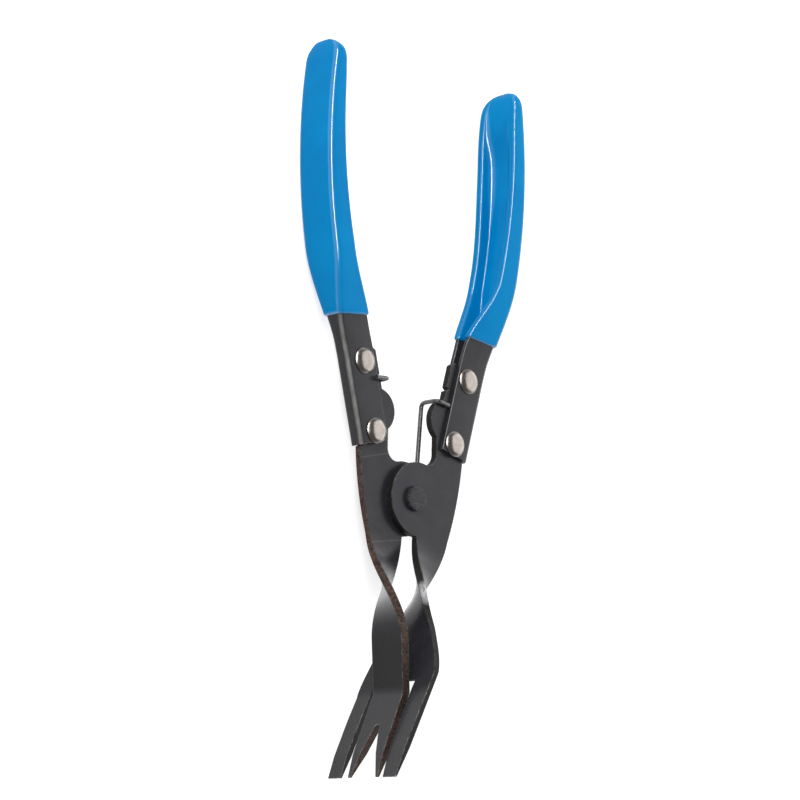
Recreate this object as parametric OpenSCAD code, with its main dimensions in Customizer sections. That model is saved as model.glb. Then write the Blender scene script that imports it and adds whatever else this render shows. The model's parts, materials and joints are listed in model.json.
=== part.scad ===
// Trim clip pliers: two stamped plates on one rivet, twisted and bent into nested forks,
// with channel handles, dipped grips and a return spring. Lies flat, forks along -Y.

/* [Jaw plates] */
// Thickness of both stamped plates
plate_t = 2.5; // [2:0.1:3.5]
// Running gap between the two plates
plate_gap = 0.3; // [0.2:0.05:0.6]
// Pivot centre to the fork tips
jaw_len = 91.5; // [84:0.5:115]
// Radius of the round lobe at the pivot
lobe_r = 12.4; // [11:0.1:14]
// Lobe centre to pivot centre, towards the plate's own handle
lobe_shift = 2; // [0:0.1:3]
// Width of each neck where its twist starts
neck_w = 14.4; // [12:0.1:16]
// Left neck's centre to the middle of the tool where the twist starts
neck_left_x = 9.8; // [9:0.1:11]
// Right neck's centre to the middle of the tool where the twist starts
neck_right_x = 8.7; // [8:0.1:11]
// Pivot centre to the start of the twist
twist_from = 13; // [12.5:0.1:16]
// Pivot centre to the end of the twist
twist_to = 45.5; // [40:0.5:54]
// Radius of the plate's outer flank
flank_r = 110; // [70:1:200]
// Radius of the fillet between the lobe and the tang
crotch_r = 4.2; // [2:0.1:5]
// Inner edge of the tang's root to the middle of the tool
root_x = 9.9; // [9:0.1:11]

/* [Narrow fork] */
// Width of the narrow blade at its bend
narrow_w = 12.8; // [11:0.1:15]
// Width of the narrow fork at the tips
narrow_tip_w = 13.8; // [12:0.1:14.5]
// Pivot centre to the bend of the narrow blade
narrow_bend_at = 64; // [58:0.5:72]
// Blade centre at the bend to the middle of the tool
narrow_x = 6.9; // [6:0.1:8.5]
// Bend angle of the narrow fork
narrow_bend = 23; // [10:0.5:30]
// Width of the mouth of the V notch
vee_mouth = 11.4; // [8:0.1:12]
// Depth of the V notch
vee_depth = 17; // [10:0.5:22]
// Radius at the root of the V notch
vee_r = 1.1; // [0.8:0.1:2]

/* [Wide fork] */
// Width of the wide blade at its bend
wide_w = 32.2; // [28:0.1:40]
// Width of the wide fork at the tips
wide_tip_w = 31.2; // [28:0.1:40]
// Pivot centre to the middle of the wide blade's bend
wide_bend_at = 61; // [57:0.5:66]
// Blade centre at the bend to the middle of the tool, to the left
wide_x = 3; // [1:0.1:4]
// Angle of the wide fork to the tool's length
wide_bend = 26; // [15:0.5:35]
// Twist past square above the bend
wide_over = 7; // [0:0.5:12]
// Play of the narrow fork beside the slot that takes it
slot_play = 1; // [0.5:0.1:3]
// Play of the narrow fork's tips in the slot's mouth
mouth_play = 2.4; // [1:0.1:4]
// Length of the flared mouth
slot_flare = 11; // [4:0.5:16]
// Bend to the top of the slot
slot_gap = 1; // [0.5:0.5:6]
// Thickness of both forks at the tips
tip_t = 0.8; // [0.5:0.1:1.5]
// Narrow fork in front of the middle between the plates
narrow_shift = 0.6; // [0:0.1:0.6]
// Wide fork behind the middle between the plates
wide_shift = 0.2; // [0:0.1:0.6]

/* [Tangs] */
// Lean of the tang and the handle's foot from the tool's length
lean = 15; // [10:0.5:20]
// Outer foot of the channel to the middle of the tool
foot_x = 23.4; // [21:0.1:26]
// Outer foot of the channel above the pivot centre
foot_y = 14.8; // [13:0.1:18]
// Length of the tang inside the channel
tang_len = 31.2; // [29:0.5:36]
// Tang's inner edge to the back of the channel
tang_w = 15.2; // [14:0.1:16]
// Radius of the half-round thumb stop
bump_r = 7.3; // [6:0.1:9]
// Centre of the thumb stop along the tang
bump_at = 10.3; // [9:0.1:13]
// Centre of the thumb stop to the back of the channel
bump_w = 12.1; // [11:0.1:13.5]
// Chamfer on the tang's inner top corner
tang_corner = 1.4; // [0.5:0.1:3]
// Spring notch along the tang
notch_at = 21.1; // [20:0.1:25]
// Depth of the spring notch
notch_d = 1.3; // [0.5:0.1:2]

/* [Channels] */
// Sheet thickness of the channel handles
sheet_t = 1.5; // [1:0.1:2]
// Inside bend radius of the channels
fold_in = 0.3; // [0.2:0.05:0.8]
// Play between a plate and the channel round it
seat_play = 0.05; // [0.02:0.01:0.2]
// Depth of the channel at the tang
foot_depth = 12.6; // [12:0.1:13.5]
// Depth of the channel where the grip gets narrow
grip_depth = 7.2; // [6:0.1:9]
// Depth of the channel at the end of the grip
end_depth = 4.2; // [4:0.1:7]
// Height of the channel in the grip
grip_height = 14.8; // [12:0.1:17]
// Straight length of the channel
straight_len = 28; // [26:0.5:34]
// Radius of the outward sweep
out_r = 125; // [80:1:200]
// Lean at the end of the outward sweep
out_lean = 19.5; // [18:0.5:24]
// Radius of the inward sweep along the grip
in_r = 195; // [150:1:260]
// Length of the inward sweep
in_len = 97.5; // [70:0.5:120]
// Length of the channel's rounded end
end_len = 6.5; // [5:0.5:10]

/* [Grips] */
// Thickness of the dipped vinyl
grip_t = 0.8; // [0.6:0.1:1.6]
// Foot of the channel to the start of the vinyl
grip_from = 43; // [40:0.5:60]
// Thickness of the vinyl pooled in the groove
pool_t = 2; // [1:0.1:3]
// Length over which the grip's lips fall away to its end
lip_len = 12; // [8:0.5:16]
// Depth of the grip at its very end
tip_depth = 2; // [1.5:0.1:4]
// End of the channel short of the end of the grip
steel_short = 4; // [2:0.5:8]
// Fall of the vinyl's lower edge for each millimetre of depth
dip_slope = 0.2; // [0:0.05:0.3]
// Play between the vinyl and the channel
grip_play = 0.05; // [0.02:0.01:0.2]

/* [Rivets] */
// Diameter of the handle rivets' heads
rivet_head_d = 8.6; // [7:0.1:9.5]
// Height of the handle rivets' heads
rivet_head_h = 1.5; // [1:0.1:2.5]
// Diameter of the handle rivets' shanks
rivet_d = 4.5; // [3.5:0.1:5.5]
// Radial play of the handle rivets in their holes
rivet_play = 0.05; // [0.02:0.01:0.1]
// Lower rivet along the tang
rivet_low_at = 3.7; // [3.5:0.1:5]
// Upper rivet along the tang
rivet_high_at = 26.8; // [25:0.1:28]
// Rivet centres to the back of the channel
rivet_in = 7.7; // [6.8:0.1:8]
// Diameter of the pivot rivet
pivot_d = 6; // [5:0.1:7]
// Radial running play of the pivot rivet
pivot_play = 0.05; // [0.02:0.01:0.1]
// Diameter of the pivot's peened front head
pivot_head_d = 8.4; // [7.5:0.1:10]
// Height of the pivot's peened front head
pivot_head_h = 1.5; // [1:0.1:2]
// Diameter of the pivot's shoulder inside the spring
pivot_shoulder_d = 9; // [7.5:0.1:10]
// Diameter of the pivot's back head
pivot_back_d = 14.6; // [13:0.1:17]
// Thickness of the pivot's back head
pivot_back_t = 1.5; // [1:0.1:2.5]
// Axial play of the pivot rivet
pivot_axial = 0.1; // [0.05:0.05:0.3]

/* [Spring] */
// Diameter of the spring wire
wire_d = 1.5; // [1:0.1:1.8]
// Mean radius of the spring's coil
coil_r = 6.3; // [5.8:0.1:7]
// Gap between the turns of the coil
coil_gap = 0.2; // [0.1:0.05:0.8]
// Full turns between the two legs, beyond the half turn
coil_turns = 1; // [1:1:2]
// Play of the wire beside what it hooks
wire_play = 0.3; // [0.1:0.05:0.5]
// Right hook along the tang
hook_right_at = 14.8; // [14:0.1:19]
// Left hook along the tang
hook_left_at = 19.9; // [19:0.1:21]
// Length of the hooks' turned-out ends
hook_end = 5.5; // [4:0.5:7]

/* [Hidden] */
$fn = 64;
// How far a cut reaches past what it cuts
cut_over = 1;
LEFT = -1;
RIGHT = 1;
steel = "#47484b";
vinyl = "#0580c8";
nickel = "#c8beb7";

// Middle of a plate's thickness, right plate above the left
plate_mid = (plate_gap + plate_t) / 2;
foot_half = plate_t / 2 + seat_play + sheet_t;
grip_half = grip_height / 2;
// Outside bend radius of the channels, and the depth at which the tang clears the bend
fold_r = sheet_t + fold_in;
tang_back = fold_r + 2 * seat_play;

// Smooth step from 0 to 1
function smooth(t) = let (c = min(max(t, 0), 1)) c * c * (3 - 2 * c);
function mix(a, b, t) = a + (b - a) * t;
function unit(v) = v / norm(v);

// Point at depth u from the channel's back and v along the tang
function tang_pt(u, v) = [foot_x - u * cos(lean) + v * sin(lean), foot_y + u * sin(lean) + v * cos(lean)];

// Skin over a list of closed rings, with the same triangles closing both ends
function skin_faces(rows, cols, cap) = concat(cap,
    [for (i = [0 : rows - 2], j = [0 : cols - 1])
        let (a = i * cols + j, b = i * cols + (j + 1) % cols)
        each [[a, a + cols, b], [b, a + cols, b + cols]]],
    [for (t = cap, last = (rows - 1) * cols) [last + t[2], last + t[1], last + t[0]]]);
module skin(rings, cap)
    polyhedron([for (r = rings) each r], skin_faces(len(rings), len(rings[0]), cap), convexity = 8);

// Flat plate of the right jaw, seen from above with the pivot at the origin
bump_c = tang_pt(bump_w, bump_at);
// The crotch fillet bites a little into the lobe, so the two rounds cross instead of touching
crotch_bite = 0.05;
crotch_c = [root_x - crotch_r,
            sqrt(pow(lobe_r + crotch_r - crotch_bite, 2) - pow(root_x - crotch_r - lobe_shift, 2))];
crotch_touch = [lobe_shift, 0] + lobe_r * unit(crotch_c - [lobe_shift, 0]);
root_top = [root_x, bump_c.y - sqrt(pow(bump_r, 2) - pow(bump_c.x - root_x, 2))];
shoulder_v = -4 * seat_play;
flank_top = tang_pt(sheet_t * 2 / 3, shoulder_v);
function flank_c(low) = let (chord = flank_top - low, d = unit(chord))
    (flank_top + low) / 2 + [-d.y, d.x] * sqrt(pow(flank_r, 2) - pow(norm(chord) / 2, 2));

module plate_body(neck_x) intersection() {
    polygon([[lobe_shift, 0], [neck_x - neck_w / 2, -lobe_r / 2], [neck_x - neck_w / 2, -twist_from],
             [foot_x + fold_r, -twist_from], tang_pt(-fold_r, shoulder_v), tang_pt(tang_back, shoulder_v),
             tang_pt(tang_back, bump_at), bump_c, root_top, [root_x, crotch_c.y], crotch_c, crotch_touch]);
    translate(flank_c([neck_x + neck_w / 2, -twist_from])) circle(flank_r, $fn = 360);
}
module plate_tang() difference() {
    polygon([tang_pt(tang_back, shoulder_v), tang_pt(tang_back, tang_len),
             tang_pt(tang_w - tang_corner, tang_len), tang_pt(tang_w, tang_len - tang_corner),
             tang_pt(tang_w, bump_at), tang_pt(bump_w, rivet_low_at), tang_pt(bump_w, shoulder_v)]);
    polygon([tang_pt(tang_w - notch_d, notch_at), tang_pt(tang_w + cut_over, notch_at - notch_d),
             tang_pt(tang_w + cut_over, notch_at + notch_d)]);
}
module plate_flat(neck_x) difference() {
    union() {
        translate([lobe_shift, 0]) circle(lobe_r);
        plate_body(neck_x);
        plate_tang();
        translate(bump_c) circle(bump_r);
    }
    translate(crotch_c) circle(crotch_r);
    circle(pivot_d / 2 + pivot_play);
    for (v = [rivet_low_at, rivet_high_at])
        translate(tang_pt(rivet_in, v)) circle(rivet_d / 2 + rivet_play);
}
module jaw_plate(side) mirror([side == LEFT ? 1 : 0, 0, 0])
    translate([0, 0, side * plate_mid - plate_t / 2]) linear_extrude(plate_t)
        plate_flat(side == LEFT ? neck_left_x : neck_right_x);

// Twisted neck and bent blade: rings from the neck (t = 0) through the bend (t = 1) to the tips (t = 2)
across = 6;
neck_steps = 22;
// Share of the fork's length at which it starts to thin towards the tips
thin_from = 0.45;
blade_t = concat([for (i = [0 : neck_steps]) i / neck_steps], [1 + thin_from, 2]);
function blade_thick(past) = mix(plate_t, tip_t, max(past - thin_from, 0) / (1 - thin_from));
tip_narrow_x = -narrow_x - (jaw_len - narrow_bend_at) * tan(narrow_bend);
tip_wide_x = -wide_x - (jaw_len - wide_bend_at) * tan(wide_bend);
wide_skew = wide_w / 2 * sin(wide_over) / tan(wide_bend);
// Slot of the wide fork, round the narrow one
slot_w = narrow_w + 2 * (narrow_shift + slot_play);
slot_mouth = narrow_tip_w + 2 * (narrow_shift + mouth_play);
// How the blades lean over and the wide one widens, between neck and bend
narrow_ease = 1.33;
wide_ease = 1.17;
widen_from = 0.42;
widen_to = 1.06;

// Share of the twist at a distance below the pivot, partly even so that it starts with a crease
even_share = 0.4;
function twist_share(y) = let (t = min((y - twist_from) / (twist_to - twist_from), 1))
    mix(smooth(t), t, even_share);
function blade_ring(centre, half, turn, mid, skew, thick) = [
    for (face = [1, -1], i = [0 : across])
        let (q = face * (2 * i / across - 1))
        [centre.x - q * half * cos(turn) + face * thick / 2 * sin(turn), centre.y + q * skew,
         mid + q * half * sin(turn) + face * thick / 2 * cos(turn)]];
function narrow_ring(t) =
    let (y = t < 1 ? mix(twist_from, narrow_bend_at, t) : mix(narrow_bend_at, jaw_len, t - 1),
         x = t < 1 ? mix(-neck_left_x, -narrow_x, pow(t, narrow_ease)) : mix(-narrow_x, tip_narrow_x, t - 1),
         share = twist_share(y), past = max(t - 1, 0),
         full = mix(mix(neck_w, narrow_w, smooth(t)), narrow_tip_w, past))
    blade_ring([x, -y], full / 2, 90 * share, mix(-plate_mid, narrow_shift, share), 0,
               blade_thick(past));
function wide_ring(t) =
    let (y = t < 1 ? mix(twist_from, wide_bend_at, t) : mix(wide_bend_at, jaw_len, t - 1),
         x = t < 1 ? mix(neck_right_x, -wide_x, pow(t, wide_ease)) : mix(-wide_x, tip_wide_x, t - 1),
         share = twist_share(y), past = max(t - 1, 0),
         full = mix(neck_w, wide_w, smooth((t - widen_from) / (widen_to - widen_from))))
    blade_ring([x, -y], mix(full, wide_tip_w, past) / 2, (90 + wide_over) * share - wide_over * past,
               mix(plate_mid, -wide_shift, share), wide_skew * min(t, 1) * (1 - past),
               blade_thick(past));
blade_cap = [for (i = [0 : across - 1], last = 2 * across + 1)
    each [[i, i + 1, last - i - 1], [i, last - i - 1, last - i]]];
module narrow_blade() skin([for (t = blade_t) narrow_ring(t)], blade_cap);
module wide_blade() skin([for (t = blade_t) wide_ring(t)], blade_cap);

// Cut through a blade, drawn as height against length
cut_reach = 60;
module blade_cut(at_x, mid) translate([at_x, 0, mid]) rotate([0, -90, 0])
    linear_extrude(cut_reach, center = true) children();
module vee_shape() {
    root_y = -jaw_len + vee_depth - vee_r;
    translate([0, root_y]) circle(vee_r, $fn = 32);
    polygon([[-vee_r, root_y], [vee_r, root_y], [vee_mouth / 2, -jaw_len],
             [vee_mouth / 2, -jaw_len - cut_over], [-vee_mouth / 2, -jaw_len - cut_over],
             [-vee_mouth / 2, -jaw_len]]);
}
module slot_shape() {
    top_y = -wide_bend_at - slot_gap;
    flare_y = -jaw_len + slot_flare;
    polygon([[-slot_w / 2, top_y], [slot_w / 2, top_y], [slot_w / 2, flare_y], [slot_mouth / 2, -jaw_len],
             [slot_mouth / 2, -jaw_len - cut_over], [-slot_mouth / 2, -jaw_len - cut_over],
             [-slot_mouth / 2, -jaw_len], [-slot_w / 2, flare_y]]);
}

// Handle line: the channel's back, straight at the tang, swept outward and then inward
out_len = out_r * (out_lean - lean) * PI / 180;
spine_len = straight_len + out_len + in_len;
function heading(s) = s < straight_len ? lean
    : s < straight_len + out_len ? lean + (s - straight_len) / out_r * 180 / PI
    : out_lean - (s - straight_len - out_len) / in_r * 180 / PI;
function arc_step(r, a, b) = r * [cos(a) - cos(b), sin(b) - sin(a)];
out_start = tang_pt(0, straight_len);
in_start = out_start + arc_step(out_r, lean, out_lean);
function spine(s) = s < straight_len ? tang_pt(0, s)
    : s < straight_len + out_len ? out_start + arc_step(out_r, lean, heading(s))
    : in_start - arc_step(in_r, out_lean, heading(s));

// Channel depth and half height along the handle, both rounded off at the end
grow_from = straight_len + 6;
grow_to = straight_len + out_len + 29;
slim_from = straight_len + out_len;
slim_to = slim_from + 28;
function end_share(s, len, stop) = let (c = (s - stop + len) / len) c <= 0 ? 1 : sqrt(max(1 - c * c, 0));
function depth_at(s) =
    let (slim = mix(grip_depth, end_depth, max(s - slim_to, 0) / (spine_len - slim_to)))
    mix(foot_depth, slim, smooth((s - slim_from) / (slim_to - slim_from)));
function half_at(s) = mix(foot_half, grip_half, smooth((s - grow_from) / (grow_to - grow_from)));

// Points on a quarter round, from one angle to another
function quarter(c, r, a, b, n) = [for (i = [0 : n]) c + r * [cos(mix(a, b, i / n)), sin(mix(a, b, i / n))]];
// Closed U section as depth against height
function u_section(back, depth, half, wall, floor, fold, root, lip, lip_in) = concat(
    quarter([depth - lip, half - lip], lip, 90, 0, 2),
    quarter([depth - lip_in, half - wall + lip_in], lip_in, 0, -90, 2),
    quarter([floor + root, half - wall - root], root, 90, 180, 2),
    quarter([floor + root, wall - half + root], root, 180, 270, 2),
    quarter([depth - lip_in, wall - half - lip_in], lip_in, 90, 0, 2),
    quarter([depth - lip, lip - half], lip, 0, -90, 2),
    quarter([back + fold, fold - half], fold, 270, 180, 3),
    quarter([back + fold, half - fold], fold, 180, 90, 3));
function on_spine(s, q) = let (p = spine(s), a = heading(s))
    [p.x - q.x * cos(a), p.y + q.x * sin(a), plate_mid + q.y];
// Triangles that close a U section, numbered backwards as on the handle line
u_last = 25;
u_cap = [for (t = concat([for (i = [-1 : 4]) [25, i + 1, i + 2]],
        [[24, 25, 6], [24, 6, 7], [23, 24, 7], [23, 7, 8], [22, 23, 8], [22, 8, 9], [21, 22, 9], [20, 21, 9],
         [20, 9, 10], [19, 20, 10], [19, 10, 11], [18, 19, 11]],
        [for (i = [11 : 16]) [18, i, i + 1]]))
    [u_last - t[2], u_last - t[1], u_last - t[0]]];

// Corner radii, and the largest shares of the half height that they and the walls take at the end
metal_lip = 0.3;
vinyl_lip = 1.2;
vinyl_root = 0.9;
metal_wall_share = 0.54;
vinyl_wall_share = 0.72;
fold_share = 0.8;
metal_root_share = 0.3;
vinyl_root_share = 0.7;
vinyl_lip_share = 0.45;
least_root = 0.1;
// The vinyl's outside follows the fold with this share of its thickness, and fills the groove before the end
round_share = 0.8;
fill_from = 33;
fill_len = 20;
fill_short = 0.4;

// Section of the steel, grown by a skin on every side
metal_stop = spine_len - steel_short;
function metal_section(s, grown) =
    let (e = end_share(s, end_len, metal_stop),
         half = half_at(s) * e,
         depth = mix(fold_r + sheet_t, depth_at(s), e),
         wall = min(sheet_t, half * metal_wall_share),
         lip = metal_lip + grown / 2)
    u_section(-grown, depth + grown, half + grown, wall + 2 * grown, sheet_t + grown,
              min(fold_r, half * fold_share) + grown,
              max(min(fold_in, half * metal_root_share) - grown, least_root), lip, lip);
// Section of the vinyl's outside, with the groove filled towards the end
function vinyl_section(s) =
    let (stop = spine_len + grip_t,
         e = end_share(s, end_len + grip_t, stop),
         half = (half_at(s) + grip_t) * e,
         depth = mix(tip_depth, depth_at(s) + grip_t, end_share(s, lip_len, stop)),
         fill = smooth((s - spine_len + fill_from) / fill_len),
         wall = min(sheet_t + 2 * grip_t, half * vinyl_wall_share),
         lip = min(vinyl_lip, wall * vinyl_lip_share))
    u_section(-grip_t * e, depth, half, wall, mix(sheet_t + pool_t, depth - fill_short, fill),
              min(fold_r + grip_t * round_share, half * fold_share),
              min(mix(vinyl_root, least_root, fill), (half - wall) * vinyl_root_share),
              lip, mix(lip, least_root, fill));
STEEL = 0;
CAVITY = 1;
VINYL = 2;
function section(s, layer) =
    layer == VINYL ? vinyl_section(s) : metal_section(s, layer == CAVITY ? grip_play : 0);
// Rings lean with the dip level near the vinyl's lower edge
dip_len = 14;
function dip_lean(s) = dip_slope * min(smooth((s - straight_len) / (grip_from - straight_len)),
                                       1 - smooth((s - grip_from) / dip_len));
function ring(s, layer, ahead = 0) = let (square = section(s, layer), k = dip_lean(s))
    [for (i = [len(square) - 1 : -1 : 0])
        let (at = s - k * square[i].x) on_spine(at + ahead, section(at, layer)[i])];

lead_steps = 3;
sweep_steps = 17;
end_steps = 5;
dome_steps = 8;
// Angle along the rounded end at which the metal and the vinyl stop, short of a point
blunt_metal = 72;
blunt_vinyl = 83;
metal_end = [for (i = [1 : end_steps]) metal_stop - end_len * (1 - sin(blunt_metal * i / end_steps))];
cover_s = [for (i = [0 : sweep_steps]) mix(grip_from, metal_stop - end_len, i / sweep_steps)];
metal_s = concat([0], [for (i = [0 : lead_steps - 1]) mix(straight_len, grip_from, i / lead_steps)],
                 cover_s, metal_end);
vinyl_end = [for (i = [1 : dome_steps])
    spine_len + grip_t - lip_len * (1 - sin(blunt_vinyl * i / dome_steps))];

module channel() difference() {
    skin([for (s = metal_s) ring(s, STEEL)], u_cap);
    for (v = [rivet_low_at, rivet_high_at])
        translate(concat(tang_pt(rivet_in, v), plate_mid))
            cylinder(d = rivet_d + 2 * rivet_play, h = 2 * (foot_half + cut_over), center = true);
}
module cover() skin(concat(
    [ring(metal_end[end_steps - 1], CAVITY, grip_play)],
    [for (i = [end_steps - 1 : -1 : 0]) ring(metal_end[i], CAVITY)],
    [for (i = [sweep_steps : -1 : 0]) ring(cover_s[i], CAVITY)],
    [for (s = concat(cover_s, vinyl_end)) ring(s, VINYL)]), u_cap);
// Both handles share the right one's form
module on_side(side)
    translate([0, 0, side == LEFT ? -2 * plate_mid : 0]) mirror([side == LEFT ? 1 : 0, 0, 0]) children();

// Domed rivet through both flanges and the tang
module dome(d, h) {
    r = (pow(d / 2, 2) + h * h) / (2 * h);
    intersection() {
        translate([0, h - r]) circle(r, $fn = 128);
        square([d / 2, h]);
    }
}
module rivet(side, v) on_side(side) translate(concat(tang_pt(rivet_in, v), plate_mid)) rotate_extrude() {
    translate([0, foot_half]) dome(rivet_head_d, rivet_head_h);
    mirror([0, 1]) translate([0, foot_half]) dome(rivet_head_d, rivet_head_h);
    translate([0, -foot_half]) square([rivet_d / 2, 2 * foot_half]);
}

// Return spring: coil behind the left plate, legs up the back, hooks over the front
wire_r = wire_d / 2;
back_z = -plate_gap / 2 - plate_t;
coil_top = back_z - wire_play - wire_r;
function hook_pt(at) = let (rise = at - bump_at, reach = bump_r + wire_r + wire_play,
    beside = abs(rise) < reach ? bump_w + sqrt(reach * reach - rise * rise) : 0)
    tang_pt(max(beside, tang_w + wire_r + wire_play), at);
hook_right = hook_pt(hook_right_at);
hook_left = let (p = hook_pt(hook_left_at)) [-p.x, p.y];
front_right = plate_mid + plate_t / 2 + wire_play + wire_r;
front_left = -plate_mid + foot_half + wire_play + wire_r;
// Angle at which a leg from a hook touches the coil on its own side
function touch(p) = atan2(p.y, p.x) + (p.x > 0 ? -1 : 1) * acos(coil_r / norm(p));
coil_start = touch(hook_left);
coil_end = touch(hook_right) + 360 * (coil_turns + 1);
coil_steps = 12 * (coil_turns + 1) - 5;
coil_drop = (wire_d + coil_gap) * (coil_end - coil_start) / 360;
function coil_pt(k) = let (a = mix(coil_start, coil_end, k))
    [coil_r * cos(a), coil_r * sin(a), coil_top - coil_drop * (1 - k)];
turn_r = wire_d * 1.2;
// Fall of the hooks' ends on the way out, against a line square to the tang
fall_left = 0.3;
fall_right = 0.6;
out_left = [-cos(lean), -sin(lean) * fall_left, 0];
out_right = [cos(lean), -sin(lean) * fall_right, 0];
// Rounded corner between two straight runs
function corner(a, b, c) = let (p = b + unit(a - b) * turn_r, q = b + unit(c - b) * turn_r)
    [p, (p + q + 2 * b) / 4, q];
function flat(p, z) = [p.x, p.y, z];
left_low = flat(hook_left, coil_top - coil_drop);
left_high = flat(hook_left, front_left);
right_low = flat(hook_right, coil_top);
right_high = flat(hook_right, front_right);
left_tip = left_high + unit(out_left) * hook_end;
right_tip = right_high + unit(out_right) * hook_end;
route = concat([left_tip], corner(left_tip, left_high, left_low), corner(left_high, left_low, coil_pt(0)),
    [for (i = [0 : coil_steps]) coil_pt(i / coil_steps)],
    corner(coil_pt(1), right_low, right_high), corner(right_low, right_high, right_tip), [right_tip]);
function tangent(p, i) = unit(p[min(i + 1, len(p) - 1)] - p[max(i - 1, 0)]);
function carried(p, i, n) = i == len(p) ? []
    : let (t = tangent(p, i), m = unit(n - (n * t) * t)) concat([m], carried(p, i + 1, m));
wire_sides = 8;
wire_cap = [for (j = [1 : wire_sides - 2]) [0, j, j + 1]];
module wire(p) {
    normals = carried(p, 0, [0, 0, 1]);
    skin([for (i = [0 : len(p) - 1])
        let (t = tangent(p, i), m = normals[i], b = cross(t, m))
        [for (j = [0 : wire_sides - 1])
            let (a = 360 * j / wire_sides) p[i] + wire_r * (m * cos(a) + b * sin(a))]],
        wire_cap);
}

// Frame: middle of the bounding box below, on the surface that the lower tine touches
top_y = max([for (s = vinyl_end, p = ring(s, VINYL)) p.y]);
low_z = min([for (t = blade_t, p = wide_ring(t)) p.z]);
place = [0, (jaw_len - top_y) / 2, -low_z];
module placed() translate(place) children();

module left_jaw() placed() color(steel) difference() {
    union() {
        jaw_plate(LEFT);
        narrow_blade();
    }
    blade_cut(tip_narrow_x, narrow_shift) vee_shape();
}
module right_jaw() placed() color(steel) difference() {
    union() {
        jaw_plate(RIGHT);
        wide_blade();
    }
    blade_cut(tip_wide_x, 0) slot_shape();
}
module left_handle() placed() color(steel) on_side(LEFT) channel();
module right_handle() placed() color(steel) on_side(RIGHT) channel();
module left_grip() placed() color(vinyl) on_side(LEFT) cover();
module right_grip() placed() color(vinyl) on_side(RIGHT) cover();
module left_upper_rivet() placed() color(nickel) rivet(LEFT, rivet_high_at);
module left_lower_rivet() placed() color(nickel) rivet(LEFT, rivet_low_at);
module right_upper_rivet() placed() color(nickel) rivet(RIGHT, rivet_high_at);
module right_lower_rivet() placed() color(nickel) rivet(RIGHT, rivet_low_at);
module pivot_rivet() placed() color(steel) rotate_extrude() {
    front = plate_gap / 2 + plate_t + pivot_axial;
    shoulder = back_z - pivot_axial;
    head = coil_top - coil_drop - wire_r - wire_play;
    translate([0, front]) square([pivot_head_d / 2, pivot_head_h]);
    translate([0, shoulder]) square([pivot_d / 2, front - shoulder]);
    translate([0, head]) square([pivot_shoulder_d / 2, shoulder - head]);
    translate([0, head - pivot_back_t]) square([pivot_back_d / 2, pivot_back_t]);
}
module return_spring() placed() color(steel) wire(route);

left_jaw();
right_jaw();
left_handle();
right_handle();
left_grip();
right_grip();
left_upper_rivet();
left_lower_rivet();
right_upper_rivet();
right_lower_rivet();
pivot_rivet();
return_spring();
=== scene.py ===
import json
import math

import bpy
from mathutils import Matrix, Vector


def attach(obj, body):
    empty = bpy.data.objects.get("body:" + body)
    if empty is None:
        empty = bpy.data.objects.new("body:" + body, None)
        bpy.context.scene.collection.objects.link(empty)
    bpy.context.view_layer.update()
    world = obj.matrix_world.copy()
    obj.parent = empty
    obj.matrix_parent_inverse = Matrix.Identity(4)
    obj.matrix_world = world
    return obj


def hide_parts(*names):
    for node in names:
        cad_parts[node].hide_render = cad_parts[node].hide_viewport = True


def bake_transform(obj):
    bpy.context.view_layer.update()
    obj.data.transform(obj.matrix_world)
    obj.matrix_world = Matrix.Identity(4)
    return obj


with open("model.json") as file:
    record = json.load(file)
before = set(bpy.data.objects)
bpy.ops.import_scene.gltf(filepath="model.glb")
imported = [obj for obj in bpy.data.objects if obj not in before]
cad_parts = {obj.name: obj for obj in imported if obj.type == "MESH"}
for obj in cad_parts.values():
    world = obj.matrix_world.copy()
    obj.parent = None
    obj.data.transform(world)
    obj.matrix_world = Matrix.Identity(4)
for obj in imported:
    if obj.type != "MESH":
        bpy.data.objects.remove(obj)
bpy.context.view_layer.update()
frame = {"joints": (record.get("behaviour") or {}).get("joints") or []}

# Sizes are in millimetres about the pivot, X to the right, Y to the grips and Z to the front
MM = 0.001
PIVOT = Vector(frame["joints"][0]["pos_m"])
LEFT = -1
RIGHT = 1
SIDES = {"left": LEFT, "right": RIGHT}

# Plates
PLATE_T = 2.5
PLATE_MID = 1.4
JAW_LEN = 91.5
LOBE_R = 12.4
LOBE_SHIFT = 2.0
NECK_W = 14.4
TWIST_FROM = 13.0
TWIST_TO = 45.5
FLANK_R = 110.0
CROTCH_R = 4.2
ROOT_X = 9.9
TIP_T = 0.8
THIN_FROM = 0.72
EVEN_SHARE = 0.4
CREASE_R = 0.3

# Tangs and channels
LEAN = math.radians(15.0)
FOOT_X = 23.4
FOOT_Y = 14.8
TANG_LEN = 31.2
TANG_W = 15.2
TANG_BACK = 1.9
TANG_CORNER = 1.4
SHOULDER_V = -0.2
BUMP_R = 7.3
BUMP_AT = 10.3
BUMP_W = 12.1
NOTCH_AT = 21.1
NOTCH_D = 1.3
NOTCH_HALF = 0.74
SHEET_T = 1.5
FOLD_R = 1.8
FOOT_DEPTH = 12.6
FOOT_HALF = 2.8
GRIP_DEPTH = 7.2
END_DEPTH = 4.2
GRIP_HALF = 7.4
STRAIGHT_LEN = 28.0
OUT_R = 125.0
OUT_LEAN = math.radians(19.5)
IN_R = 195.0
IN_LEN = 97.5

# Grips
END_LEN = 6.5
GRIP_T = 0.8
GRIP_FROM = 43.0
POOL_T = 2.0
LIP_LEN = 19.0
TIP_DEPTH = 2.0
REAR_LEN = 24.0
REAR_TIP = 0.6
REAR_EXTRA = 2.0
REAR_FROM = 70.0
REAR_RISE = 40.0
MEET_LEN = 11.0
DIP_SLOPE = 0.2
DIP_LEN = 14.0

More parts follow.
